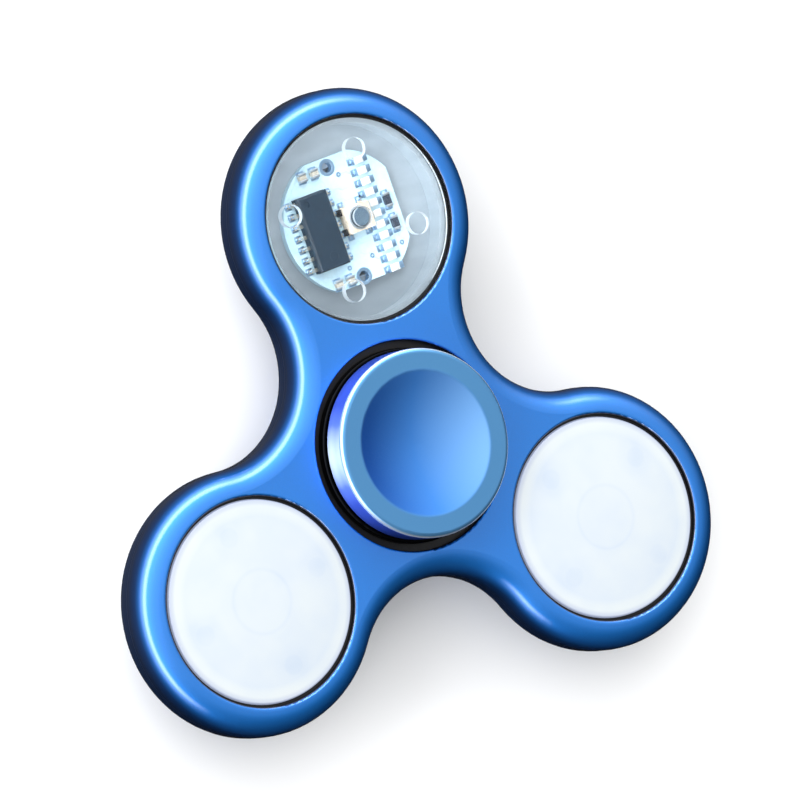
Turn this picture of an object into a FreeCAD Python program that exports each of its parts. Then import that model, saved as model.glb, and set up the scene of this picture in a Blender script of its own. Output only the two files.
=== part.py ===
import FreeCAD, Part
import math
import os

# Three-lobed light-up spinning top on a 608 ball bearing. Millimetres.
# The origin is the centre of the lower finger cap's rim, the plane the top
# stands on. +Z is the spin axis and +Y runs out through the middle of lobe 1.
# Lobes 2 and 3 are lobe 1 turned by 120 and 240 degrees about +Z.

Vec = FreeCAD.Vector
Z_AXIS = Vec(0, 0, 1)
CENTRE = Vec(0, 0, 0)

# Overall layout
LOBE_COUNT = 3
LOBE_PITCH_R = 26.0      # spin axis to lobe centre
LOBE_R = 15.0            # lobe outer radius
WAIST_R = 11.0           # hollow arc between two lobes, tangent to both
BODY_T = 7.0             # same as the bearing's width
CAP_RISE = 3.75          # finger cap above the body face, each side
BODY_EDGE_R = 2.8        # rounding of the body's outer edge
BORE_EDGE_R = 0.3        # rounding of the mouths of the four bores
REAR_Z = CAP_RISE
FRONT_Z = REAR_Z + BODY_T
MID_Z = REAR_Z + BODY_T / 2.0
TOP_Z = FRONT_Z + CAP_RISE

# Hub and bearing (608: bore 8, outside 22, width 7, seven 3.969 balls)
HUB_BORE_R = 11.85
SLEEVE_OUT_R = 11.84
SLEEVE_IN_R = 11.01
SLEEVE_RECESS = 1.0
BEARING_OUT_R = 11.0
BEARING_BORE_R = 4.0
BEARING_EDGE_R = 0.3
OUTER_LAND_R = 8.8
INNER_LAND_R = 6.2
SEAL_SEAT_R = 9.65
SEAL_SEAT_DEPTH = 0.75
SEAL_OUT_R = 9.62
SEAL_IN_R = 6.5
SEAL_T = 0.45
SEAL_LIP_T = 0.15
SEAL_LIP_IN_R = 7.1
SEAL_LIP_OUT_R = 9.1
BALL_COUNT = 7
BALL_R = 1.985
BALL_PITCH_R = 7.5
RACE_R = 2.05
CAGE_IN_R = 6.55
CAGE_OUT_R = 8.45
CAGE_BACK = 2.4
CAGE_FRONT = 1.2
CAGE_POCKET_R = 2.08

# Finger caps
CAP_R = 10.67
CAP_BASE_R = 10.6
CAP_EDGE_R = 0.55
CAP_GAP = 0.3            # cap underside above the body face
DISH_R = 8.22
DISH_DEPTH = 1.1
DISH_EDGE_R = 0.6
BOSS_R = 5.6
STUB_R = 3.98
STUB_LEN = 3.35
PIN_R = 1.93
SOCKET_R = 1.95
PIN_LEN = 2.9
SOCKET_DEPTH = 3.1

# Light pod, depths counted down from the body's front face
POD_BORE_R = 11.75
LENS_R = 11.37
LENS_RIM_DEPTH = 0.3
LENS_CROWN = 0.5         # height of the dome over its rim
LENS_BACK_DEPTH = 1.2
LENS_EDGE_R = 0.2
LENS_TRAVEL = 0.3
BEAD_R = 11.49            # snap bead round the lens rim
BEAD_TOP_DEPTH = 0.95
BEAD_END_DEPTH = 1.2
STEM_R = 1.28
STEM_PITCH_R = 8.0
STEM_COUNT = 4
STEM_FIRST_DEG = -13.9
STEM_END_DEPTH = 2.05
PRESSER_R = 1.15
PRESSER_END_DEPTH = 1.55
GUIDE_OUT_R = 11.73
GUIDE_IN_R = 11.44
GUIDE_TOP_DEPTH = 0.65
GROOVE_R = 11.57
GROOVE_TOP_DEPTH = 0.9
CUP_OUT_R = 11.73
CUP_IN_R = 10.9
CUP_RIM_DEPTH = 1.55
CUP_FLOOR_DEPTH = 4.1
CUP_FLOOR_END = 5.95
CUP_END_DEPTH = 6.85
COVER_R = 10.88
COVER_TOP_DEPTH = 6.0
COIN_SLOT_L = 9.0
COIN_SLOT_W = 1.3
COIN_SLOT_DEPTH = 0.4
COVER_GROOVE_OUT_R = 9.9
COVER_GROOVE_IN_R = 9.4
COVER_GROOVE_DEPTH = 0.15

# Circuit board and what stands on it, in the board's own turned frame
BOARD_TURN_DEG = 7.5
BOARD_R = 8.0
BOARD_FLAT_XP = 6.85
BOARD_FLAT_YP = 7.5
BOARD_FLAT_YN = 7.1
BOARD_T = 0.8
BOARD_TOP_Z = FRONT_Z - 3.3
BOARD_HOLE_R = 0.6
BOARD_HOLE_X = -0.2
BOARD_HOLE_Y = 6.4
CHIP_X = -3.9
CHIP_W = 3.9
CHIP_L = 8.65
CHIP_STANDOFF = 0.1
CHIP_T = 1.4
CHIP_BEVEL = 0.2
CHIP_DIMPLE_R = 0.35
CHIP_DIMPLE_DEPTH = 0.1
CHIP_DIMPLE_INSET = 0.9
LEADS_PER_SIDE = 7
LEAD_PITCH = 1.27
LEAD_W = 0.42
LEAD_T = 0.15
LEAD_EXIT_Z = 0.7
LEAD_KNEE_X = 2.35
LEAD_FOOT_X = 2.5
LEAD_TIP_X = 3.0
LED_COUNT = 11
LED_X = 3.7
LED_Y = -0.35
LED_PITCH = 1.27
LED_L = 1.6
LED_W = 0.8
LED_BASE_T = 0.25
LED_HEAD_L = 1.0
LED_HEAD_T = 0.35
LED_HEAD_R = 0.12
RESISTOR_L = 1.6
RESISTOR_W = 0.8
RESISTOR_T = 0.45
RESISTOR_XY = ((5.55, 0.65), (5.58, -2.04))
CAPACITOR_L = 1.0
CAPACITOR_W = 0.9
CAPACITOR_T = 0.5
CAPACITOR_XY = ((-3.7, 6.3), (-2.1, 6.3), (-3.7, -6.3), (-2.1, -6.3))
END_CAP_L = 0.25
END_CAP_STEP = 0.05
SWITCH_X = 1.0
SWITCH_L = 3.4
SWITCH_W = 3.0
SWITCH_T = 1.2
SWITCH_EDGE_R = 0.2
SWITCH_TAB_W = 0.5
SWITCH_TAB_L = 0.45
SWITCH_TAB_T = 0.2
WELL_R = 1.08
WELL_DEPTH = 0.7
PLUNGER_R = 1.0
PLUNGER_RISE = 0.45
PLUNGER_SINK = 0.3
PLUNGER_EDGE_R = 0.1

# Coin cell (12.5 x 1.6) and its spring contact
CELL_R = 6.25
CELL_TOP_DEPTH = 4.2
CELL_T = 1.6
CELL_CAP_R = 5.2
CELL_CAP_T = 0.2
CELL_EDGE_R = 0.25
POCKET_R = 6.3
CLIP_T = 0.13
CLIP_W = 3.0
CLIP_REACH = 4.0
CLIP_LEG_X = 6.45
CLIP_SLOT_X0 = 5.8
CLIP_SLOT_X1 = 6.75
CLIP_SLOT_W = 3.3


def disc(radius, z_low, z_high, x=0.0, y=0.0):
    return Part.makeCylinder(radius, z_high - z_low, Vec(x, y, z_low))


def ring(r_out, r_in, z_low, z_high):
    return disc(r_out, z_low, z_high).cut(disc(r_in, z_low, z_high))


def block(length, width, z_low, z_high, x=0.0, y=0.0):
    corner = Vec(x - length / 2.0, y - width / 2.0, z_low)
    return Part.makeBox(length, width, z_high - z_low, corner)


def turned(profile):
    """Solid of revolution of a closed (radius, z) outline about the spin axis."""
    points = [Vec(r, 0, z) for r, z in profile]
    points.append(points[0])
    face = Part.Face(Part.makePolygon(points))
    return face.revolve(CENTRE, Z_AXIS, 360)


def rotated(shape, degrees):
    copy = shape.copy()
    copy.rotate(CENTRE, Z_AXIS, degrees)
    return copy


def depth(value):
    """Height of a point that lies this far under the body's front face."""
    return FRONT_Z - value


def polar(radius, degrees):
    angle = math.radians(degrees)
    return Vec(radius * math.cos(angle), radius * math.sin(angle), 0)


def circular_edges(shape, radius, z, cx=0.0, cy=0.0):
    """Circular edges of one radius, height and centre."""
    tol = 1e-4
    found = []
    for edge in shape.Edges:
        if edge.Degenerated or not isinstance(edge.Curve, Part.Circle):
            continue
        curve = edge.Curve
        offset = curve.Center - Vec(cx, cy, z)
        if abs(curve.Radius - radius) < tol and offset.Length < tol:
            found.append(edge)
    return found


def upright_edges(shape):
    """Straight edges that run along Z."""
    found = []
    for edge in shape.Edges:
        ends = [v.Point for v in edge.Vertexes]
        if len(ends) == 2 and abs((ends[1] - ends[0]).normalize().z) > 0.999:
            found.append(edge)
    return found


def lobe_angle(index):
    return 90.0 + index * 360.0 / LOBE_COUNT


def body_outline():
    """Three lobe arcs joined by three tangent waist arcs."""
    half_step = 180.0 / LOBE_COUNT
    arcs = []
    for index in range(LOBE_COUNT):
        out_dir = lobe_angle(index)
        lobe = polar(LOBE_PITCH_R, out_dir)
        waist_before = polar(LOBE_PITCH_R, out_dir - half_step)
        waist_after = polar(LOBE_PITCH_R, out_dir + half_step)
        share = LOBE_R / (LOBE_R + WAIST_R)
        start = lobe + (waist_before - lobe) * share
        end = lobe + (waist_after - lobe) * share
        tip = polar(LOBE_PITCH_R + LOBE_R, out_dir)
        arcs.append(Part.Arc(start, tip, end).toShape())
        next_lobe = polar(LOBE_PITCH_R, lobe_angle(index + 1))
        next_start = next_lobe + (waist_after - next_lobe) * share
        neck = polar(LOBE_PITCH_R - WAIST_R, out_dir + half_step)
        arcs.append(Part.Arc(end, neck, next_start).toShape())
    return Part.Face(Part.Wire(arcs))


def spinner_body():
    face = body_outline()
    face.translate(Vec(0, 0, REAR_Z))
    body = face.extrude(Vec(0, 0, BODY_T))
    rims = []
    for edge in body.Edges:
        box = edge.BoundBox
        if box.ZMax - box.ZMin < 1e-6:
            rims.append(edge)
    body = body.makeFillet(BODY_EDGE_R, rims)
    body = body.cut(disc(HUB_BORE_R, REAR_Z, FRONT_Z))
    mouths = []
    for index in range(LOBE_COUNT):
        spot = polar(LOBE_PITCH_R, lobe_angle(index))
        body = body.cut(disc(POD_BORE_R, REAR_Z, FRONT_Z, spot.x, spot.y))
    for z in (REAR_Z, FRONT_Z):
        mouths += circular_edges(body, HUB_BORE_R, z)
        for index in range(LOBE_COUNT):
            spot = polar(LOBE_PITCH_R, lobe_angle(index))
            mouths += circular_edges(body, POD_BORE_R, z, spot.x, spot.y)
    return body.makeFillet(BORE_EDGE_R, mouths)


def bearing_sleeve():
    return ring(SLEEVE_OUT_R, SLEEVE_IN_R, REAR_Z + SLEEVE_RECESS, FRONT_Z - SLEEVE_RECESS)


def ball_track():
    return Part.makeTorus(BALL_PITCH_R, RACE_R, Vec(0, 0, MID_Z), Z_AXIS)


def bearing_outer_ring():
    seat_low = REAR_Z + SEAL_SEAT_DEPTH
    seat_high = FRONT_Z - SEAL_SEAT_DEPTH
    body = disc(BEARING_OUT_R, REAR_Z, FRONT_Z)
    corners = circular_edges(body, BEARING_OUT_R, REAR_Z)
    corners += circular_edges(body, BEARING_OUT_R, FRONT_Z)
    body = body.makeFillet(BEARING_EDGE_R, corners)
    body = body.cut(disc(OUTER_LAND_R, REAR_Z, FRONT_Z))
    body = body.cut(disc(SEAL_SEAT_R, REAR_Z, seat_low))
    body = body.cut(disc(SEAL_SEAT_R, seat_high, FRONT_Z))
    return body.cut(ball_track())


def bearing_inner_ring():
    body = ring(INNER_LAND_R, BEARING_BORE_R, REAR_Z, FRONT_Z)
    return body.cut(ball_track())


def front_bearing_seal():
    """Thin shield in the outer ring's seat, with a shallow raised bead."""
    low = FRONT_Z - SEAL_SEAT_DEPTH
    high = low + SEAL_T
    bead_low = high - SEAL_LIP_T
    shield = ring(SEAL_OUT_R, SEAL_IN_R, low, high)
    return shield.cut(ring(SEAL_LIP_OUT_R, SEAL_LIP_IN_R, bead_low, high))


def rear_bearing_seal():
    return front_bearing_seal().mirror(Vec(0, 0, MID_Z), Z_AXIS)


def ball(index):
    spot = polar(BALL_PITCH_R, lobe_angle(0) + index * 360.0 / BALL_COUNT)
    return Part.makeSphere(BALL_R, Vec(spot.x, spot.y, MID_Z))


def bearing_cage():
    """Crown cage: a ring with an open pocket round each ball."""
    cage = ring(CAGE_OUT_R, CAGE_IN_R, MID_Z - CAGE_BACK, MID_Z + CAGE_FRONT)
    for index in range(BALL_COUNT):
        spot = polar(BALL_PITCH_R, lobe_angle(0) + index * 360.0 / BALL_COUNT)
        cage = cage.cut(Part.makeSphere(CAGE_POCKET_R, Vec(spot.x, spot.y, MID_Z)))
    return cage


def finger_cap():
    """Flared cap with a dished top, standing on a boss over the inner ring."""
    base_z = FRONT_Z + CAP_GAP
    cap = turned([(0, base_z), (CAP_BASE_R, base_z), (CAP_R, TOP_Z), (0, TOP_Z)])
    ball_r = (DISH_R ** 2 + DISH_DEPTH ** 2) / (2.0 * DISH_DEPTH)
    hollow = Part.makeSphere(ball_r, Vec(0, 0, TOP_Z - DISH_DEPTH + ball_r))
    cap = cap.cut(hollow)
    cap = cap.makeFillet(CAP_EDGE_R, circular_edges(cap, CAP_R, TOP_Z))
    cap = cap.makeFillet(DISH_EDGE_R, circular_edges(cap, DISH_R, TOP_Z))
    return cap.fuse(disc(BOSS_R, FRONT_Z, base_z + CAP_GAP)).removeSplitter()


def upper_finger_cap():
    cap = finger_cap().fuse(disc(STUB_R, FRONT_Z - STUB_LEN, FRONT_Z + CAP_GAP))
    end_z = FRONT_Z - STUB_LEN
    return cap.cut(disc(SOCKET_R, end_z, end_z + SOCKET_DEPTH)).removeSplitter()


def lower_finger_cap():
    cap = finger_cap().mirror(Vec(0, 0, MID_Z), Z_AXIS)
    end_z = REAR_Z + STUB_LEN
    cap = cap.fuse(disc(STUB_R, REAR_Z - CAP_GAP, end_z))
    pin_top = FRONT_Z - STUB_LEN + PIN_LEN
    return cap.fuse(disc(PIN_R, end_z - CAP_GAP, pin_top)).removeSplitter()


def lens_dome():
    """Shallow domed disc with a softened rim."""
    rim_z = depth(LENS_RIM_DEPTH)
    ball_r = (LENS_R ** 2 + LENS_CROWN ** 2) / (2.0 * LENS_CROWN)
    slab = disc(LENS_R, depth(LENS_BACK_DEPTH), rim_z + LENS_CROWN)
    dome = Part.makeSphere(ball_r, Vec(0, 0, rim_z + LENS_CROWN - ball_r))
    lens = slab.common(dome)
    return lens.makeFillet(LENS_EDGE_R, circular_edges(lens, LENS_R, rim_z))


def lens():
    """Press-down lens: dome with a snap bead, four stems and the switch presser."""
    back_z = depth(LENS_BACK_DEPTH)
    shape = lens_dome()
    for index in range(STEM_COUNT):
        spot = polar(STEM_PITCH_R, STEM_FIRST_DEG + index * 360.0 / STEM_COUNT)
        shape = shape.fuse(disc(STEM_R, depth(STEM_END_DEPTH), back_z, spot.x, spot.y))
    spot = polar(SWITCH_X, BOARD_TURN_DEG)
    shape = shape.fuse(disc(PRESSER_R, depth(PRESSER_END_DEPTH), back_z, spot.x, spot.y))
    bead = disc(BEAD_R, depth(BEAD_END_DEPTH), depth(BEAD_TOP_DEPTH))
    return shape.fuse(bead).removeSplitter()


def guide_ring():
    """Dark ring that the lens slides in, with a groove that holds its bead."""
    end_z = depth(CUP_RIM_DEPTH)
    guide = ring(GUIDE_OUT_R, GUIDE_IN_R, end_z, depth(GUIDE_TOP_DEPTH))
    return guide.cut(disc(GROOVE_R, end_z, depth(GROOVE_TOP_DEPTH)))


def pod_cup():
    """Cup with a floor ring for the board, a cell pocket and a slot for the clip."""
    wall = ring(CUP_OUT_R, CUP_IN_R, depth(CUP_END_DEPTH), depth(CUP_RIM_DEPTH))
    floor = ring(CUP_OUT_R, POCKET_R, depth(CUP_FLOOR_END), depth(CUP_FLOOR_DEPTH))
    cup = wall.fuse(floor)
    slot_l = CLIP_SLOT_X1 - CLIP_SLOT_X0
    slot_x = (CLIP_SLOT_X0 + CLIP_SLOT_X1) / 2.0
    slot = block(slot_l, CLIP_SLOT_W, depth(CUP_FLOOR_END), depth(CUP_FLOOR_DEPTH), slot_x)
    return cup.cut(rotated(slot, BOARD_TURN_DEG)).removeSplitter()


def rear_cover():
    """Battery door with a coin slot and a shallow ring groove."""
    outer_z = depth(CUP_END_DEPTH)
    cover = disc(COVER_R, outer_z, depth(COVER_TOP_DEPTH))
    cover = cover.cut(block(COIN_SLOT_L, COIN_SLOT_W, outer_z, outer_z + COIN_SLOT_DEPTH))
    groove_top = outer_z + COVER_GROOVE_DEPTH
    return cover.cut(ring(COVER_GROOVE_OUT_R, COVER_GROOVE_IN_R, outer_z, groove_top))


def circuit_board():
    """Round board with three flats and two round holes."""
    low = BOARD_TOP_Z - BOARD_T
    board = disc(BOARD_R, low, BOARD_TOP_Z)
    length = BOARD_R + BOARD_FLAT_XP
    width = BOARD_FLAT_YP + BOARD_FLAT_YN
    mid_x = (BOARD_FLAT_XP - BOARD_R) / 2.0
    mid_y = (BOARD_FLAT_YP - BOARD_FLAT_YN) / 2.0
    board = board.common(block(length, width, low, BOARD_TOP_Z, mid_x, mid_y))
    for y in (-BOARD_HOLE_Y, BOARD_HOLE_Y):
        board = board.cut(disc(BOARD_HOLE_R, low, BOARD_TOP_Z, BOARD_HOLE_X, y))
    return board


def control_chip():
    low = BOARD_TOP_Z + CHIP_STANDOFF
    high = low + CHIP_T
    chip = block(CHIP_W, CHIP_L, low, high, CHIP_X)
    top_edges = [e for e in chip.Edges if e.BoundBox.ZMin > high - 1e-6]
    chip = chip.makeChamfer(CHIP_BEVEL, top_edges)
    dimple_x = CHIP_X - CHIP_W / 2.0 + CHIP_DIMPLE_INSET
    dimple_y = CHIP_L / 2.0 - CHIP_DIMPLE_INSET
    return chip.cut(disc(CHIP_DIMPLE_R, high - CHIP_DIMPLE_DEPTH, high, dimple_x, dimple_y))


def gull_wing_lead(y):
    """One bent lead on the chip's +x side."""
    top = BOARD_TOP_Z + LEAD_EXIT_Z
    profile = [
        (CHIP_W / 2.0, top),
        (LEAD_KNEE_X, top),
        (LEAD_FOOT_X, BOARD_TOP_Z + LEAD_T),
        (LEAD_TIP_X, BOARD_TOP_Z + LEAD_T),
        (LEAD_TIP_X, BOARD_TOP_Z),
        (LEAD_FOOT_X - LEAD_T, BOARD_TOP_Z),
        (LEAD_KNEE_X - LEAD_T, top - LEAD_T),
        (CHIP_W / 2.0, top - LEAD_T),
    ]
    points = [Vec(x, y - LEAD_W / 2.0, z) for x, z in profile]
    points.append(points[0])
    face = Part.Face(Part.makePolygon(points))
    return face.extrude(Vec(0, LEAD_W, 0))


def chip_leads():
    leads = []
    for index in range(LEADS_PER_SIDE):
        y = (index - (LEADS_PER_SIDE - 1) / 2.0) * LEAD_PITCH
        right = gull_wing_lead(y)
        left = rotated(right, 180)
        leads += [right, left]
    row = Part.makeCompound(leads)
    row.translate(Vec(CHIP_X, 0, 0))
    return row


def led(y):
    base = block(LED_L, LED_W, BOARD_TOP_Z, BOARD_TOP_Z + LED_BASE_T, LED_X, y)
    head_low = BOARD_TOP_Z + LED_BASE_T
    head = block(LED_HEAD_L, LED_W, head_low, head_low + LED_HEAD_T, LED_X, y)
    head = head.makeFillet(LED_HEAD_R, [e for e in head.Edges if e.BoundBox.ZMin > head_low + 1e-6])
    return base.fuse(head).removeSplitter()


def led_row():
    first = LED_Y - (LED_COUNT - 1) / 2.0 * LED_PITCH
    return Part.makeCompound([led(first + index * LED_PITCH) for index in range(LED_COUNT)])


def capped_part(x, y, length, width, height):
    """Surface-mount part lying along Y with raised metal ends."""
    core = block(width, length - 2.0 * END_CAP_L, BOARD_TOP_Z, BOARD_TOP_Z + height, x, y)
    end_y = (length - END_CAP_L) / 2.0
    for side in (-1, 1):
        low = BOARD_TOP_Z
        high = low + height + END_CAP_STEP
        end = block(width + END_CAP_STEP, END_CAP_L, low, high, x, y + side * end_y)
        core = core.fuse(end)
    return core


def resistors():
    parts = [capped_part(x, y, RESISTOR_L, RESISTOR_W, RESISTOR_T) for x, y in RESISTOR_XY]
    return Part.makeCompound(parts)


def capacitors():
    parts = [capped_part(x, y, CAPACITOR_L, CAPACITOR_W, CAPACITOR_T) for x, y in CAPACITOR_XY]
    return Part.makeCompound(parts)


def switch_base():
    """Square switch body with a round well and four solder tabs."""
    top = BOARD_TOP_Z + SWITCH_T
    base = block(SWITCH_L, SWITCH_W, BOARD_TOP_Z, top, SWITCH_X)
    base = base.makeFillet(SWITCH_EDGE_R, upright_edges(base))
    base = base.cut(disc(WELL_R, top - WELL_DEPTH, top, SWITCH_X))
    tab_x = SWITCH_L / 2.0 - SWITCH_TAB_W
    tab_y = (SWITCH_W + SWITCH_TAB_L) / 2.0 - SWITCH_EDGE_R / 2.0
    for side_x in (-1, 1):
        for side_y in (-1, 1):
            x = SWITCH_X + side_x * tab_x
            tab_top = BOARD_TOP_Z + SWITCH_TAB_T
            tab_l = SWITCH_TAB_L + SWITCH_EDGE_R
            tab = block(SWITCH_TAB_W, tab_l, BOARD_TOP_Z, tab_top, x, side_y * tab_y)
            base = base.fuse(tab)
    return base.removeSplitter()


def switch_plunger():
    top = BOARD_TOP_Z + SWITCH_T
    plunger = disc(PLUNGER_R, top - PLUNGER_SINK, top + PLUNGER_RISE, SWITCH_X)
    rim = circular_edges(plunger, PLUNGER_R, top + PLUNGER_RISE, SWITCH_X)
    return plunger.makeFillet(PLUNGER_EDGE_R, rim)


def coin_cell():
    """Flat can with a smaller cap on top."""
    top = depth(CELL_TOP_DEPTH)
    can_top = top - CELL_CAP_T
    can = disc(CELL_R, top - CELL_T, can_top)
    rims = circular_edges(can, CELL_R, can_top) + circular_edges(can, CELL_R, top - CELL_T)
    can = can.makeFillet(CELL_EDGE_R, rims)
    return can.fuse(disc(CELL_CAP_R, can_top, top)).removeSplitter()


def battery_clip():
    """Thin strip under the cell, bent up through the floor to the board."""
    cell_low = depth(CELL_TOP_DEPTH + CELL_T)
    low = cell_low - CLIP_T
    blade_end = CLIP_LEG_X + CLIP_T
    blade = block(
        CLIP_REACH + blade_end, CLIP_W, low, cell_low, (blade_end - CLIP_REACH) / 2.0
    )
    leg_x = CLIP_LEG_X + CLIP_T / 2.0
    leg = block(CLIP_T, CLIP_W, low, BOARD_TOP_Z - BOARD_T, leg_x)
    return blade.fuse(leg).removeSplitter()


def into_lobe(shape, index, turn=0.0):
    """Turn a pod piece in its own frame, then carry it out to its lobe."""
    placed = rotated(shape, turn)
    placed.translate(Vec(0, LOBE_PITCH_R, 0))
    return rotated(placed, index * 360.0 / LOBE_COUNT)


def save(name, shape):
    shape.exportStep(os.path.join("parts", name + ".step"))


def save_hub():
    save("spinner_body", spinner_body())
    save("bearing_sleeve", bearing_sleeve())
    save("bearing_outer_ring", bearing_outer_ring())
    save("bearing_inner_ring", bearing_inner_ring())
    save("bearing_cage", bearing_cage())
    save("front_bearing_seal", front_bearing_seal())
    save("rear_bearing_seal", rear_bearing_seal())
    save("upper_finger_cap", upper_finger_cap())
    save("lower_finger_cap", lower_finger_cap())
    for index in range(BALL_COUNT):
        save("ball_%d" % (index + 1), ball(index))


def save_pods():
    straight = {
        "lens": lens(),
        "guide_ring": guide_ring(),
        "pod_cup": pod_cup(),
        "rear_cover": rear_cover(),
    }
    on_board = {
        "circuit_board": circuit_board(),
        "control_chip": control_chip(),
        "chip_leads": chip_leads(),
        "led_row": led_row(),
        "resistors": resistors(),
        "capacitors": capacitors(),
        "switch_base": switch_base(),
        "switch_plunger": switch_plunger(),
        "coin_cell": coin_cell(),
        "battery_clip": battery_clip(),
    }
    for index in range(LOBE_COUNT):
        for name, shape in straight.items():
            save("%s_%d" % (name, index + 1), into_lobe(shape, index))
        for name, shape in on_board.items():
            save("%s_%d" % (name, index + 1), into_lobe(shape, index, BOARD_TURN_DEG))


os.makedirs("parts", exist_ok=True)
save_hub()
save_pods()
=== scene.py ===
import math

import bmesh
import bpy
from mathutils import Matrix, Vector


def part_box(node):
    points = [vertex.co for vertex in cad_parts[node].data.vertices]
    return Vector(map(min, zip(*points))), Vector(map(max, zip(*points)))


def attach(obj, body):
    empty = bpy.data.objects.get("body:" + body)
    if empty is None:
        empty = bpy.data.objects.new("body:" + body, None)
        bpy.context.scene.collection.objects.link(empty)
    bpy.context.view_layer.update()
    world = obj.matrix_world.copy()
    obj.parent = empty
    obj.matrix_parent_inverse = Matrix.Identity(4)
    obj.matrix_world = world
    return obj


# Looks of the light-up spinning top. Metres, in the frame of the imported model:
# the top stands on z = 0, +Z is the spin axis and +Y runs out through lobe 1.

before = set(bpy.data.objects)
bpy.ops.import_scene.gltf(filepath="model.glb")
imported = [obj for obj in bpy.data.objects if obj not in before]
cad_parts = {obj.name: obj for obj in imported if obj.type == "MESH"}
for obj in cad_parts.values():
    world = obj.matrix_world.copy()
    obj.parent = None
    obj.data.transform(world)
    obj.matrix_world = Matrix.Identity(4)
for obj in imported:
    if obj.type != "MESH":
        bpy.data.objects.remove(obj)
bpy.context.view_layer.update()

# Layout of the CAD model
MM = 0.001
LOBES = (1, 2, 3)
LIT_LOBES = (2, 3)
LOBE_PITCH = 26 * MM
LOBE_STEP_DEG = 120
BOARD_TURN_DEG = 7.5
BALL_COUNT = 7
BODY_LOW, BODY_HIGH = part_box("spinner_body")
FACE_Z = BODY_HIGH.z
MID_Z = (BODY_LOW.z + BODY_HIGH.z) / 2

# Camera: a long lens from above, leaning to the left of the spin axis
CAMERA_AZIMUTH = -93.03
CAMERA_ELEVATION = 61.44
CAMERA_ROLL = 80.15
CAMERA_DISTANCE = 1.0188
CAMERA_LENS_MM = 409.9
CAMERA_AIM = Vector((0, 5.2 * MM, FACE_Z))

# Stems under each lens, about the lobe centre, and how far the painted shade over each stem reaches on a
# lit lens
STEM_COUNT = 4
STEM_PITCH = 8.0 * MM
STEM_FIRST_DEG = -13.9
STEM_SHADE_R = 3 * MM

# Painted shade darkens the hub's bore fully inside the first radius and fades into the lacquer by the
# second.
# A pod's bore is smaller by POD_BORE_LESS.
BORE_SHADE_FULL_R = 11.87 * MM
BORE_SHADE_END_R = 12.05 * MM
POD_BORE_LESS = 0.1 * MM

# The cap's satin dish ends at the first radius and its flat ring starts at the second
DISH_R = 7.9 * MM
CAP_RING_R = 8.5 * MM

# Groove of the parting line round the body
SEAM_HALF_WIDTH = 0.12 * MM

# Full scale of the ramps that follow a radius, on the body and on a cap or a lens
BODY_RAMP_R = 20 * MM
POD_RAMP_R = 12 * MM


def add_camera():
    azimuth = math.radians(CAMERA_AZIMUTH)
    elevation = math.radians(CAMERA_ELEVATION)
    flat = math.cos(elevation)
    back = Vector((math.sin(azimuth) * flat, -math.cos(azimuth) * flat, math.sin(elevation)))
    data = bpy.data.cameras.new("camera")
    data.lens = CAMERA_LENS_MM
    data.clip_start = 0.01
    data.clip_end = 20
    camera = bpy.data.objects.new("camera", data)
    bpy.context.scene.collection.objects.link(camera)
    roll = Matrix.Rotation(math.radians(CAMERA_ROLL), 4, "Z")
    upright = (-back).to_track_quat("-Z", "Y").to_matrix().to_4x4()
    camera.matrix_world = Matrix.Translation(CAMERA_AIM + back * CAMERA_DISTANCE) @ upright @ roll
    bpy.context.scene.camera = camera
    return camera


camera = add_camera()
IMAGE_RIGHT = camera.matrix_world.to_3x3() @ Vector((1, 0, 0))
IMAGE_UP = camera.matrix_world.to_3x3() @ Vector((0, 1, 0))


# Shader building blocks

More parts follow.
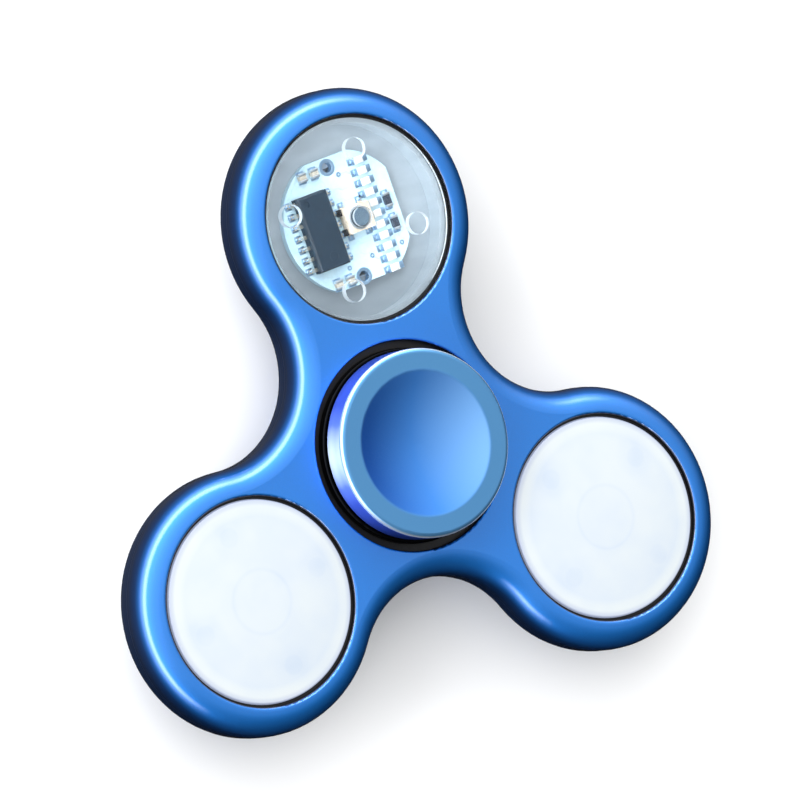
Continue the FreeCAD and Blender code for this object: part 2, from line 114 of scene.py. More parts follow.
class Look:
    """One procedural material, built node by node on a Principled shader."""

    def __init__(self, name, **constants):
        self.material = bpy.data.materials.new(name)
        self.material.use_nodes = True
        self.tree = self.material.node_tree
        self.shader = self.tree.nodes["Principled BSDF"]
        self.output = self.tree.nodes["Material Output"]
        for socket, value in constants.items():
            self.shader.inputs[socket.replace("_", " ")].default_value = value
        self.place = self.node("ShaderNodeTexCoord").outputs["Object"]

    def node(self, kind, **settings):
        made = self.tree.nodes.new(kind)
        for name, value in settings.items():
            setattr(made, name, value)
        return made

    def plug(self, source, target):
        self.tree.links.new(source, target)

    def drive(self, socket, source):
        self.plug(source, self.shader.inputs[socket])

    def feed(self, socket, value):
        if isinstance(value, (int, float)):
            socket.default_value = value
        else:
            self.plug(value, socket)

    def maths(self, operation, a, b=0.0):
        made = self.node("ShaderNodeMath", operation=operation)
        self.feed(made.inputs[0], a)
        self.feed(made.inputs[1], b)
        return made.outputs[0]

    def noise(self, size, detail=3.0, stretch=(1, 1, 1)):
        """Noise whose blobs are about size metres across."""
        mapping = self.node("ShaderNodeMapping")
        mapping.inputs["Scale"].default_value = stretch
        self.plug(self.place, mapping.inputs["Vector"])
        made = self.node("ShaderNodeTexNoise")
        made.inputs["Scale"].default_value = 1.0 / size
        made.inputs["Detail"].default_value = detail
        self.plug(mapping.outputs[0], made.inputs["Vector"])
        return made.outputs["Fac"]

    def cells(self, size):
        """Cells about size metres across."""
        made = self.node("ShaderNodeTexVoronoi")
        made.inputs["Scale"].default_value = 1.0 / size
        self.plug(self.place, made.inputs["Vector"])
        return made

    def ramp(self, factor, stops, smooth=True):
        made = self.node("ShaderNodeValToRGB")
        ramp = made.color_ramp
        ramp.interpolation = "EASE" if smooth else "LINEAR"
        while len(ramp.elements) < len(stops):
            ramp.elements.new(0.5)
        for element, (position, colour) in zip(ramp.elements, stops):
            element.position = position
            element.color = colour if isinstance(colour, tuple) else grey(colour)
        self.plug(factor, made.inputs["Fac"])
        return made.outputs["Color"]

    def spread(self, factor, low, high):
        """Rescales a 0 to 1 value to low to high."""
        made = self.node("ShaderNodeMapRange")
        made.inputs["To Min"].default_value = low
        made.inputs["To Max"].default_value = high
        self.plug(factor, made.inputs["Value"])
        return made.outputs[0]

    def mix(self, factor, a, b, blend="MIX"):
        made = self.node("ShaderNodeMix", data_type="RGBA", blend_type=blend)
        self.feed(made.inputs["Factor"], factor)
        for socket, value in ((made.inputs[6], a), (made.inputs[7], b)):
            if isinstance(value, tuple):
                socket.default_value = value
            else:
                self.plug(value, socket)
        return made.outputs[2]

    def split(self, vector):
        made = self.node("ShaderNodeSeparateXYZ")
        self.plug(vector, made.inputs[0])
        return made.outputs

    def normal_z(self):
        """Upward part of the surface direction, in the piece's own frame."""
        source = self.node("ShaderNodeTexCoord").outputs["Normal"]
        return self.split(source)[2]

    def share(self, distance, whole):
        """A distance as a share of a whole one, to feed a ramp."""
        return self.maths("MULTIPLY", distance, 1 / whole)

    def from_centre(self, centre, place=None):
        """Place relative to a centre, and the distance from it in the XY plane."""
        mapping = self.node("ShaderNodeMapping")
        mapping.inputs["Location"].default_value = tuple(-value for value in centre)
        self.plug(place or self.place, mapping.inputs["Vector"])
        x, y, _ = self.split(mapping.outputs[0])
        squares = self.maths("ADD", self.maths("MULTIPLY", x, x), self.maths("MULTIPLY", y, y))
        return mapping.outputs[0], self.maths("SQRT", squares)

    def bump(self, height, depth):
        """Relief that is depth metres high, on top of what the look already has."""
        made = self.node("ShaderNodeBump")
        made.inputs["Distance"].default_value = depth
        self.plug(height, made.inputs["Height"])
        chained = self.shader.inputs["Normal"]
        if chained.is_linked:
            self.plug(chained.links[0].from_socket, made.inputs["Normal"])
        self.plug(made.outputs[0], chained)


def rgb(code):
    """Linear colour of an sRGB hex code."""
    values = []
    for start in (0, 2, 4):
        part = int(code[start:start + 2], 16) / 255
        values.append(part / 12.92 if part <= 0.04045 else ((part + 0.055) / 1.055) ** 2.4)
    return (*values, 1.0)


def grey(level):
    return (level, level, level, 1.0)


# Materials

def body_paint():
    """Metallic blue lacquer with painted shade in its colour: bright on the faces, navy on the sides and
    dark in the bores.
    """
    look = Look("body_paint", Metallic=0.8, Coat_Weight=1.0, Coat_Roughness=0.06, Coat_IOR=1.7)
    up = look.maths("ABSOLUTE", look.normal_z())
    # Painted shade: the colour runs from navy on the sides to bright blue on the faces, by how far the
    # surface faces up.
    shade = look.ramp(up, [
        (0.0, rgb("0a3060")),
        (0.35, rgb("0a3e7a")),
        (0.65, rgb("166cc4")),
        (0.88, rgb("1684e8")),
        (1.0, rgb("168cf4")),
    ], smooth=False)
    cloud = look.ramp(look.noise(14 * MM, detail=2), [(0.3, 0.95), (0.7, 1.0)])
    flakes = look.cells(0.06 * MM).outputs["Color"]
    sparkle = look.ramp(flakes, [(0.0, 0.94), (1.0, 1.0)])
    tint = look.mix(1.0, look.mix(1.0, shade, cloud, "MULTIPLY"), sparkle, "MULTIPLY")
    # Painted shade: near-black inside the hub's bore and the pods' bores, fading to the lacquer at their
    # mouths.
    _, radius = look.from_centre((0, 0, 0))
    for k in LOBES:
        angle = math.radians(90 + LOBE_STEP_DEG * (k - 1))
        centre = (LOBE_PITCH * math.cos(angle), LOBE_PITCH * math.sin(angle), 0)
        _, reach = look.from_centre(centre)
        radius = look.maths("MINIMUM", radius, look.maths("ADD", reach, POD_BORE_LESS))
    bore_shade = look.ramp(look.share(radius, BODY_RAMP_R), [
        (BORE_SHADE_FULL_R / BODY_RAMP_R, 1.0), (BORE_SHADE_END_R / BODY_RAMP_R, 0.0),
    ])
    # The near-black colour of the painted shade in the bores.
    tint = look.mix(bore_shade, tint, rgb("060a14"))
    look.drive("Base Color", tint)
    scuffs = look.noise(0.5 * MM, detail=6, stretch=(1, 6, 1))
    look.drive("Roughness", look.spread(scuffs, 0.38, 0.46))
    look.bump(look.noise(0.9 * MM, detail=2), 0.0006 * MM)
    z = look.split(look.place)[2]
    off_seam = look.maths("ABSOLUTE", look.maths("SUBTRACT", z, MID_Z))
    seam = look.ramp(look.share(off_seam, SEAM_HALF_WIDTH), [(0.0, 0.0), (1.0, 1.0)])
    look.bump(seam, 0.03 * MM)
    return look.material


def cap_metal():
    """Turned and anodised cap: fine lathe lines, a brushed wall, satin rim and dish, with a painted
    reflection on the dish, a painted glint on the wall and a painted highlight on the edge.
    """
    look = Look("cap_metal", Metallic=0.8, Roughness=0.32, Coat_Weight=0.15, Coat_Roughness=0.1)
    up = look.maths("ABSOLUTE", look.normal_z())
    _, radius = look.from_centre((0, 0, 0))
    in_dish = look.ramp(look.share(radius, POD_RAMP_R), [
        (DISH_R / POD_RAMP_R, 1.0), (CAP_RING_R / POD_RAMP_R, 0.0),
    ])
    glance = look.node("ShaderNodeLayerWeight").outputs["Facing"]
    # Painted reflection: by the viewing angle, the dish runs from pale blue face-on to deep blue at a
    # slant.
    painted_dish_reflection = look.ramp(glance, [
        (0.02, rgb("84c0ff")), (0.14, rgb("4692ee")), (0.28, rgb("0456c0")),
    ], smooth=False)
    flat = look.mix(in_dish, rgb("5b9dd5"), painted_dish_reflection)
    # Painted highlight and shade: by the viewing angle, the wall goes from pale blue through a narrow
    # near-white glint to deep blue at a slant.
    painted_wall_glint = look.ramp(glance, [
        (0.0, rgb("6f9cf0")),
        (0.48, rgb("8fb6fa")),
        (0.543, rgb("e4f2ff")),
        (0.556, rgb("b4ccff")),
        (0.575, rgb("6284e8")),
        (0.62, rgb("3b5cd0")),
        (0.85, rgb("1c3c94")),
    ], smooth=False)
    # Painted highlight: the rounded edge between wall and top is near-white.
    bevel_highlight = look.ramp(up, [(0.25, 0.0), (0.5, 1.0)])
    side = look.mix(bevel_highlight, painted_wall_glint, rgb("e4f3ff"))
    on_face = look.ramp(up, [(0.5, 0.0), (0.9, 1.0)])
    grain = look.noise(0.25 * MM, detail=4)
    tint = look.mix(on_face, side, flat)
    tint = look.mix(look.spread(grain, 0.0, 0.02), tint, rgb("d8ecff"))
    look.drive("Base Color", tint)
    rough = look.mix(on_face, grey(0.5), grey(0.3))
    look.drive("Roughness", look.maths("MULTIPLY", look.spread(grain, 0.9, 1.15), rough))
    brushed = look.maths("SUBTRACT", 0.9, look.maths("MULTIPLY", on_face, 0.6))
    look.drive("Anisotropic", brushed)
    turn = look.maths("SUBTRACT", 0.25, look.maths("MULTIPLY", on_face, 0.25))
    look.drive("Anisotropic Rotation", turn)
    tangent = look.node("ShaderNodeTangent", direction_type="RADIAL", axis="Z")
    look.plug(tangent.outputs[0], look.shader.inputs["Tangent"])
    lathe = look.node("ShaderNodeTexWave", wave_type="RINGS", rings_direction="Z")
    lathe.inputs["Scale"].default_value = 1 / (0.6 * MM)
    lathe.inputs["Distortion"].default_value = 0.4
    look.plug(look.place, lathe.inputs["Vector"])
    look.bump(lathe.outputs["Fac"], 0.0012 * MM)
    return look.material


def dark_plastic(name, colour, rough=0.45, grain=0.3, light="0f1116"):
    look = Look(name, Roughness=rough)
    blotch = look.noise(2.5 * MM, detail=4)
    look.drive("Base Color", look.ramp(blotch, [(0.3, rgb(colour)), (0.8, rgb(light))]))
    look.drive("Roughness", look.spread(look.noise(0.4 * MM), rough - 0.08, rough + 0.1))
    look.bump(look.noise(grain * MM, detail=3), 0.012 * MM)
    return look.material


def textured_cover(name="textured_cover", dark="2a2e35", light="3e434c"):
    """Spark-eroded black plastic with a fine pebble."""
    look = Look(name, Roughness=0.5)
    dust = look.noise(1.6 * MM, detail=5)
    look.drive("Base Color", look.ramp(dust, [(0.35, rgb(dark)), (0.75, rgb(light))]))
    look.drive("Roughness", look.spread(dust, 0.42, 0.6))
    look.bump(look.cells(0.22 * MM).outputs["Distance"], 0.02 * MM)
    return look.material


def steel(name, colour, rough, blend="d9dde2", turned=True):
    """Ground or plated steel with fine turning lines and light stains."""
    look = Look(name, Metallic=1.0, Roughness=rough)
    stain = look.noise(1.2 * MM, detail=5)
    look.drive("Base Color", look.mix(look.spread(stain, 0.0, 0.35), rgb(colour), rgb(blend)))
    look.drive("Roughness", look.spread(look.noise(0.3 * MM, detail=4), rough * 0.8, rough * 1.3))
    if turned:
        lines = look.node("ShaderNodeTexWave", wave_type="RINGS", rings_direction="Z")
        lines.inputs["Scale"].default_value = 1 / (0.35 * MM)
        lines.inputs["Distortion"].default_value = 0.6
        look.plug(look.place, lines.inputs["Vector"])
        look.bump(lines.outputs["Fac"], 0.002 * MM)
    return look.material


def seal_rubber():
    look = Look("seal_rubber", Roughness=0.7)
    bloom = look.noise(0.8 * MM, detail=5)
    look.drive("Base Color", look.ramp(bloom, [(0.3, rgb("0d0e10")), (0.8, rgb("22252a"))]))
    look.bump(look.noise(0.12 * MM, detail=2), 0.01 * MM)
    return look.material


def moulded_nylon():
    look = Look("moulded_nylon", Roughness=0.45, Subsurface_Weight=0.2)
    cloud = look.noise(1.5 * MM, detail=3)
    look.drive("Base Color", look.ramp(cloud, [(0.3, rgb("cfc6ac")), (0.7, rgb("e2dcc8"))]))
    look.bump(look.noise(0.2 * MM), 0.006 * MM)
    return look.material


def clear_plastic():
    """Clear moulding with polished faces and faintly frosted side walls."""
    look = Look("clear_plastic", IOR=1.22, Specular_IOR_Level=1.0)
    look.shader.inputs["Base Color"].default_value = rgb("f8fcff")
    flat = look.ramp(look.maths("ABSOLUTE", look.normal_z()), [(0.3, 0.0), (0.7, 1.0)])
    haze = look.noise(3 * MM, detail=4)
    look.drive("Transmission Weight", look.spread(flat, 0.68, 1.0))
    rough = look.maths("SUBTRACT", 0.3, look.maths("MULTIPLY", flat, 0.28))
    look.drive("Roughness", look.maths("ADD", rough, look.maths("MULTIPLY", haze, 0.03)))
    look.bump(look.noise(2.5 * MM, detail=1), 0.003 * MM)
    # Shadow rays pass straight through, so that the lens doesn't darken the board
    path = look.node("ShaderNodeLightPath")
    see_through = look.node("ShaderNodeBsdfTransparent")
    see_through.inputs["Color"].default_value = rgb("f4f9fc")
    blend = look.node("ShaderNodeMixShader")
    look.plug(path.outputs["Is Shadow Ray"], blend.inputs[0])
    look.plug(look.shader.outputs[0], blend.inputs[1])
    look.plug(see_through.outputs[0], blend.inputs[2])
    look.plug(blend.outputs[0], look.output.inputs["Surface"])
    return look.material


def lit_plastic(k):
    """Milky lens lit from inside, with painted light and shade in its colour and glow: a pale band near
    the edge, a faint dark ring, soft painted shade over the stems and a painted lilac shadow at the edge.
    """
    look = Look(f"lit_plastic_{k}", Roughness=0.22, Coat_Weight=0.3, Coat_Roughness=0.04)
    low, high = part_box(f"guide_ring_{k}")
    place, radius = look.from_centre((low + high) / 2)
    # Painted light and shade: a faint darker ring part way out and a paler band near the edge.
    rings = look.ramp(look.share(radius, POD_RAMP_R), [
        (0.0, 0.70), (0.27, 0.68), (0.30, 0.54), (0.33, 0.70), (0.45, 0.74), (0.72, 0.68),
        (0.79, 0.62), (0.84, 0.82), (0.90, 0.9), (0.95, 0.7),
    ], smooth=False)
    # Painted shade: a soft dark patch over each stem, where the stem shades the glow.
    stem_shades = None
    for index in range(STEM_COUNT):
        turn = LOBE_STEP_DEG * (k - 1) + STEM_FIRST_DEG + 360 / STEM_COUNT * index
        angle = math.radians(turn)
        centre = (STEM_PITCH * math.cos(angle), STEM_PITCH * math.sin(angle), 0)
        _, off = look.from_centre(centre, place)
        stem_shade = look.ramp(look.share(off, STEM_SHADE_R), [
            (0.0, 0.22), (0.3, 0.2), (0.45, 0.1), (1.0, 0.0),
        ])
        stem_shades = stem_shade if stem_shades is None else look.maths("MAXIMUM", stem_shades, stem_shade)
    clouds = look.ramp(look.noise(4.5 * MM, detail=2), [(0.3, 0.0), (0.7, 0.5)])
    # Darkening from the painted stem shade and from random clouds.
    dim = look.maths("ADD", stem_shades, look.maths("MULTIPLY", clouds, 0.35))
    glow = look.maths("SUBTRACT", rings, dim)
    tint = look.ramp(glow, [
        (0.0, rgb("cfe2fb")), (0.5, rgb("e9f4ff")), (1.0, rgb("f8ffff")),
    ], smooth=False)
    # Painted shadow: a lilac tint along the lens's edge.
    rim = look.ramp(look.share(radius, POD_RAMP_R), [(0.88, 0.0), (0.925, 0.35), (0.95, 0.9)])
    tint = look.mix(rim, tint, rgb("bcc8ea"))
    look.drive("Base Color", look.mix(1.0, tint, grey(0.38), "MULTIPLY"))
    look.drive("Emission Color", tint)
    look.shader.inputs["Emission Strength"].default_value = 0.4
    look.bump(look.noise(4 * MM, detail=1), 0.004 * MM)
    return look.material


def cup_plastic():
    """Light grey translucent moulding with painted light: a faint painted glow and painted shade, darker
    toward the hub and brighter on the side away from it.
    """
    look = Look("cup_plastic", Roughness=0.42)
    flow = look.noise(5 * MM, detail=4, stretch=(1, 3, 1))
    resin = look.ramp(flow, [(0.3, rgb("8a9298")), (0.7, rgb("959da3"))])
    _, radius = look.from_centre((0, 0, 0))
    outward = look.share(radius, 2 * LOBE_PITCH)
    # Painted shade: darker toward the hub, brighter away from it.
    shade = look.ramp(outward, [(0.28, 0.6), (0.7, 1.15)])
    look.drive("Base Color", look.mix(1.0, resin, shade, "MULTIPLY"))
    # Painted glow, also brightest away from the hub.
    look.drive("Emission Color", look.ramp(outward, [(0.28, rgb("8d98a2")), (0.7, rgb("b6c2cc"))]))
    look.shader.inputs["Emission Strength"].default_value = 0.25
    look.drive("Roughness", look.spread(look.noise(0.6 * MM), 0.34, 0.5))
    look.bump(look.noise(0.25 * MM, detail=2), 0.006 * MM)
    return look.material


def board_mask(name="board_mask", tone="cbe6f0"):
    """White solder mask, a little blue where copper lies under it."""
    look = Look(name, Roughness=0.3, Coat_Weight=0.3, Coat_Roughness=0.1)
    copper = look.ramp(look.noise(1.6 * MM, detail=3), [(0.38, rgb("c4e2ef")), (0.6, rgb(tone))])
    dirt = look.ramp(look.noise(0.5 * MM, detail=5), [(0.3, 0.94), (0.6, 1.0)])
    look.drive("Base Color", look.mix(1.0, copper, dirt, "MULTIPLY"))
    look.bump(look.noise(0.15 * MM), 0.004 * MM)
    return look.material


def chip_epoxy():
    look = Look("chip_epoxy", Roughness=0.5)
    filler = look.noise(0.12 * MM, detail=5)
    look.drive("Base Color", look.ramp(filler, [(0.3, rgb("071c2c")), (0.7, rgb("122a3a"))]))
    look.drive("Roughness", look.spread(filler, 0.42, 0.6))
    look.bump(filler, 0.006 * MM)
    return look.material


def lit_diode(name="lit_diode", warm="f4f6f2"):
    look = Look(name, Roughness=0.25)
    glow = look.noise(0.5 * MM, detail=3)
    tint = look.ramp(glow, [(0.3, rgb(warm)), (0.7, rgb("ffffff"))])
    look.drive("Base Color", look.mix(1.0, tint, grey(0.75), "MULTIPLY"))
    look.drive("Emission Color", tint)
    look.shader.inputs["Emission Strength"].default_value = 0.2
    look.bump(look.noise(0.1 * MM), 0.004 * MM)
    return look.material


def ceramic(name, dark, light):
    look = Look(name, Roughness=0.35)
    grain = look.noise(0.2 * MM, detail=4)
    look.drive("Base Color", look.ramp(grain, [(0.3, rgb(dark)), (0.7, rgb(light))]))
    look.bump(grain, 0.005 * MM)
    return look.material


def switch_plastic():
    look = Look("switch_plastic", Roughness=0.45)
    grain = look.noise(0.5 * MM, detail=4)
    look.drive("Base Color", look.ramp(grain, [(0.3, rgb("c9b7a2")), (0.7, rgb("dccdbb"))]))
    look.bump(look.noise(0.1 * MM), 0.005 * MM)
    return look.material


def paint_nodes():
    """Gives every CAD node its material through its material slots."""
    paint = {
        "spinner_body": body_paint(),
        "bearing_sleeve": dark_plastic("sleeve_plastic", "07080b"),
        "bearing_outer_ring": steel("blackened_steel", "0e0f12", 0.35, blend="1c1e22"),
        "bearing_inner_ring": steel("race_steel", "8d9096", 0.2),
        "bearing_cage": moulded_nylon(),
    }
    rubber = seal_rubber()
    paint["front_bearing_seal"] = rubber
    paint["rear_bearing_seal"] = rubber
    cap = cap_metal()
    paint["upper_finger_cap"] = cap
    paint["lower_finger_cap"] = cap
    polished = steel("ball_steel", "b9bdc4", 0.08, turned=False)
    for index in range(BALL_COUNT):
        paint[f"ball_{index + 1}"] = polished
    shared = {
        "guide_ring": dark_plastic("guide_plastic", "020308", rough=0.55),
        "pod_cup": cup_plastic(),
        "rear_cover": textured_cover(),
        "circuit_board": board_mask(),
        "control_chip": chip_epoxy(),
        "chip_leads": steel("tinned_lead", "e2dccd", 0.3, blend="f6f2e8", turned=False),
        "led_row": lit_diode(),
        "resistors": ceramic("resistor_glaze", "262c38", "3c4452"),
        "capacitors": ceramic("capacitor_ceramic", "a89f90", "c4bcae"),
        "switch_base": switch_plastic(),
        "switch_plunger": dark_plastic("plunger_plastic", "4c5c69", rough=0.4, light="5e707e"),
        "coin_cell": steel("cell_nickel", "b4b6ba", 0.3),
        "battery_clip": steel("clip_nickel", "a9a79e", 0.35, turned=False),
    }
    for k in LOBES:
        for name, material in shared.items():
            paint[f"{name}_{k}"] = material
    paint["lens_1"] = clear_plastic()
    for k in LIT_LOBES:
        paint[f"lens_{k}"] = lit_plastic(k)
    for name, material in paint.items():
        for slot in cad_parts[name].material_slots:
            slot.material = material


# Small pieces that the CAD leaves out. Sizes in millimetres in a board's own frame:
# x across the chip, y along it, z up from the board's top face. The boards' parts
# lie at the same places as in the CAD.

SIDES = (-1, 1)
PITCH = 1.27
LEAD_YS = [PITCH * (index - 3) for index in range(7)]
LED_YS = [PITCH * (index - 5) - 0.35 for index in range(11)]
CHIP_X = -3.9
CHIP_L = 8.65
CHIP_W = 3.9
CHIP_TOP = 1.5
CHIP_LIP_Z = 0.62
LEAD_PAD_X = 2.68        # from the chip's middle
LED_X = 3.7
LED_TOP = 0.6
LED_PAD_X = 0.95         # from the row's middle
SWITCH_X = 1.0
SWITCH_TOP = 1.2
SWITCH_PAD_X = 1.2       # from the switch's middle
SWITCH_PAD_Y = 1.85
PAD_T = 0.04
PAD_EDGE = 0.015
SOLDER_Z = 0.03          # solder starts just inside its pad
BOARD_T = 0.8
HOLES = [(-0.2, 6.4), (-0.2, -6.4)]
RESISTORS = [(5.55, 0.65), (5.58, -2.04)]
CAPACITORS = [(-3.7, 6.3), (-2.1, 6.3), (-3.7, -6.3), (-2.1, -6.3)]
VIAS = [(0.9, 5.2), (1.6, -4.6), (-1.6, -5.0), (5.7, -4.4)]


def board_frame(k):
    """From the board's own frame, in millimetres, to the row frame."""
    _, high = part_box(f"circuit_board_{k}")
    lobe = Matrix.Rotation(math.radians(LOBE_STEP_DEG * (k - 1)), 4, "Z")
    out = Matrix.Translation((0, LOBE_PITCH, high.z))
    turn = Matrix.Rotation(math.radians(BOARD_TURN_DEG), 4, "Z")
    return lobe @ out @ turn @ Matrix.Scale(MM, 4)


def add_block(mesh, x, y, z, size, edge):
    """Box with rounded edges standing on height z."""
    made = bmesh.ops.create_cube(mesh, size=1.0)["verts"]
    bmesh.ops.scale(mesh, vec=size, verts=made)
    bmesh.ops.translate(mesh, vec=(x, y, z + size[2] / 2), verts=made)
    edges = list({link for vert in made for link in vert.link_edges})
    bmesh.ops.bevel(mesh, geom=edges, offset=edge, segments=2, profile=0.5, affect="EDGES")


def add_turned(mesh, x, y, profile, steps=28, squash=(1, 1)):
    """Solid turned from a (radius, height) outline, closed on the axis or on itself."""
    rows = []
    for radius, height in profile:
        count = steps if radius > 0 else 1
        row = []
        for step in range(count):
            angle = 2 * math.pi * step / steps
            across = x + radius * math.cos(angle) * squash[0]
            along = y + radius * math.sin(angle) * squash[1]
            row.append(mesh.verts.new((across, along, height)))
        rows.append(row)
    closed = len(rows[0]) > 1 and len(rows[-1]) > 1
    pairs = list(zip(rows, rows[1:]))
    if closed:
        pairs.append((rows[-1], rows[0]))
    for lower, upper in pairs:
        for step in range(steps):
            after = (step + 1) % steps
            if len(lower) == 1:
                mesh.faces.new((lower[0], upper[after], upper[step]))
            elif len(upper) == 1:
                mesh.faces.new((lower[step], lower[after], upper[0]))
            else:
                mesh.faces.new((lower[step], lower[after], upper[after], upper[step]))


def add_mound(mesh, x, y, radius, height, squash=(1, 1), base=SOLDER_Z):
    """Smooth drop of solder, resin or plastic, flat underneath."""
    profile = [(0, base), (radius, base)]
    rises = 5
    for step in range(1, rises):
        angle = math.radians(90 * step / rises)
        profile.append((radius * math.cos(angle), base + height * math.sin(angle)))
    profile.append((0, base + height))
    add_turned(mesh, x, y, profile, steps=20, squash=squash)


def add_pad(mesh, x, y, width, length):
    add_block(mesh, x, y, 0.0, (width, length, PAD_T), PAD_EDGE)


def add_bar(mesh, sections):
    """Solid bar through four-cornered sections, closed at both ends."""
    rows = [[mesh.verts.new(corner) for corner in section] for section in sections]
    for row, following in zip(rows, rows[1:]):
        for index in range(4):
            after = (index + 1) % 4
            mesh.faces.new((row[index], row[after], following[after], following[index]))
    mesh.faces.new(reversed(rows[0]))
    mesh.faces.new(rows[-1])


def add_track(mesh, points, width=0.16, height=0.03):
    """Flat copper track under the mask, mitred at its corners."""
    sections = []
    for index, (x, y) in enumerate(points):
        before = Vector(points[max(index - 1, 0)])
        after = Vector(points[min(index + 1, len(points) - 1)])
        here = Vector((x, y))
        steps = [step.normalized() for step in (here - before, after - here) if step.length > 0]
        along = sum(steps, Vector((0, 0))).normalized()
        reach = width / 2 / max(along.dot(steps[0]), 0.5)
        side = Vector((-along.y, along.x)) * reach
        left, right = here + side, here - side
        sections.append([(*left, 0.0), (*left, height), (*right, height), (*right, 0.0)])
    add_bar(mesh, sections)


def settle(name, mesh, place, material):
    """Puts a finished piece in its place and lets it turn with the body."""
    bmesh.ops.recalc_face_normals(mesh, faces=mesh.faces)
    mesh.transform(place)
    data = bpy.data.meshes.new(name)
    mesh.to_mesh(data)
    mesh.free()
    data.materials.append(material)
    data.shade_smooth()
    data.set_sharp_from_angle(angle=math.radians(40))
    piece = bpy.data.objects.new(name, data)
    bpy.context.scene.collection.objects.link(piece)
    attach(piece, "rotor")


def solder_pads(k, tin):
    """Pads with the solder that rises from them, under every part on a board."""
    mesh = bmesh.new()
    for y in LEAD_YS:
        for side in SIDES:
            x = CHIP_X + side * LEAD_PAD_X
            toe, heel = x + side * 0.22, x - side * 0.16
            add_pad(mesh, x, y, 0.78, 0.86)
            add_mound(mesh, toe, y, 0.26, 0.2, squash=(0.9, 0.85))
            add_mound(mesh, heel, y, 0.2, 0.24, squash=(0.8, 0.95))
    for y in LED_YS:
        for side in SIDES:
            add_pad(mesh, LED_X + side * LED_PAD_X, y, 0.7, 0.8)
            add_mound(mesh, LED_X + side * 0.84, y, 0.3, 0.17, squash=(0.6, 1.0))
    for x, y in RESISTORS:
        for side in SIDES:
            add_pad(mesh, x, y + side * 0.85, 0.95, 0.6)
            add_mound(mesh, x, y + side * 0.84, 0.38, 0.28, squash=(1.0, 0.6))
    for x, y in CAPACITORS:
        for side in SIDES:
            add_pad(mesh, x, y + side * 0.52, 1.0, 0.45)
            add_mound(mesh, x, y + side * 0.52, 0.4, 0.3, squash=(1.0, 0.5))
    for side_x in SIDES:
        for side_y in SIDES:
            x = SWITCH_X + side_x * SWITCH_PAD_X
            add_pad(mesh, x, side_y * SWITCH_PAD_Y, 0.8, 0.75)
            add_mound(mesh, x, side_y * (SWITCH_PAD_Y - 0.05), 0.34, 0.26, squash=(0.95, 0.9))
    settle(f"solder_pads_{k}", mesh, board_frame(k), tin)


def plated_holes(k, tin):
    """Barrels and rims of the two holes through a board, and the rims of its vias."""
    mesh = bmesh.new()
    barrel = [(0.56, 0.05 - BOARD_T), (0.62, 0.05), (0.66, 0.06), (0.95, 0.05), (0.98, 0.0), (0.6, -0.01)]
    for x, y in HOLES:
        add_turned(mesh, x, y, barrel)
    for x, y in VIAS:
        add_turned(mesh, x, y, [(0.11, 0.0), (0.13, 0.05), (0.27, 0.05), (0.3, 0.0)], steps=18)
    settle(f"plated_holes_{k}", mesh, board_frame(k), tin)


def board_tracks(k, mask):
    """Tracks from the chip to the lamps, their bus, and runs to the small parts."""
    mesh = bmesh.new()
    lead_x = CHIP_X + LEAD_PAD_X + 0.37
    bend_x = 0.4
    lamp_x = LED_X - 1.3
    bus_x = LED_X + 1.3
    for index, y in enumerate(LEAD_YS):
        lamp_y = LED_YS[index + 2]
        slant_x = bend_x + abs(lamp_y - y)
        add_track(mesh, [(lead_x, y), (bend_x, y), (slant_x, lamp_y), (lamp_x, lamp_y)])
    for index, (x, y) in ((1, VIAS[1]), (9, VIAS[0])):
        lamp_y = LED_YS[index]
        slant_x = max(lamp_x - abs(lamp_y - y), x + 0.1)
        add_track(mesh, [(lamp_x, lamp_y), (slant_x, y), (x, y)])
    add_track(mesh, [(bus_x, LED_YS[1]), (bus_x, LED_YS[9])], width=0.3)
    for x, y in RESISTORS:
        add_track(mesh, [(bus_x, y + 0.85), (x - 0.3, y + 0.85)], width=0.24)
        add_track(mesh, [(x, y - 1.1), (x + 0.1, y - 1.6)], width=0.24)
    for side in SIDES:
        feed = [(-1.2, side * 4.0), (-1.2, side * 4.9), (-2.0, side * 5.7), (-3.6, side * 5.7)]
        add_track(mesh, feed, width=0.24)
        add_track(mesh, [(-1.6, side * 6.4), (-1.1, side * 6.4)], width=0.3)
        add_track(mesh, [(-4.3, side * 6.3), (-5.2, side * 5.5), (-6.3, side * 4.2)], width=0.2)
    settle(f"board_tracks_{k}", mesh, board_frame(k), mask)


def part_ends(k, tin):
    """Fired metal ends over the ends of the resistors and capacitors."""
    mesh = bmesh.new()
    for x, y in RESISTORS:
        for side in SIDES:
            add_block(mesh, x, y + side * 0.67, 0.0, (0.9, 0.32, 0.53), 0.05)
    for x, y in CAPACITORS:
        for side in SIDES:
            add_block(mesh, x, y + side * 0.38, 0.0, (1.0, 0.29, 0.58), 0.06)
    settle(f"part_ends_{k}", mesh, board_frame(k), tin)


def lamp_domes(k, resin):
    """Drops of resin on the lamps."""
    mesh = bmesh.new()
    for y in LED_YS:
        add_mound(mesh, LED_X, y, 0.38, 0.2, squash=(1.1, 0.9), base=LED_TOP - 0.01)
    settle(f"lamp_domes_{k}", mesh, board_frame(k), resin)


def lamp_ends(k, tin):
    """Metal ends of the lamps."""
    mesh = bmesh.new()
    for y in LED_YS:
        for side in SIDES:
            add_block(mesh, LED_X + side * 0.68, y, 0.0, (0.28, 0.84, 0.29), 0.04)
    settle(f"lamp_ends_{k}", mesh, board_frame(k), tin)


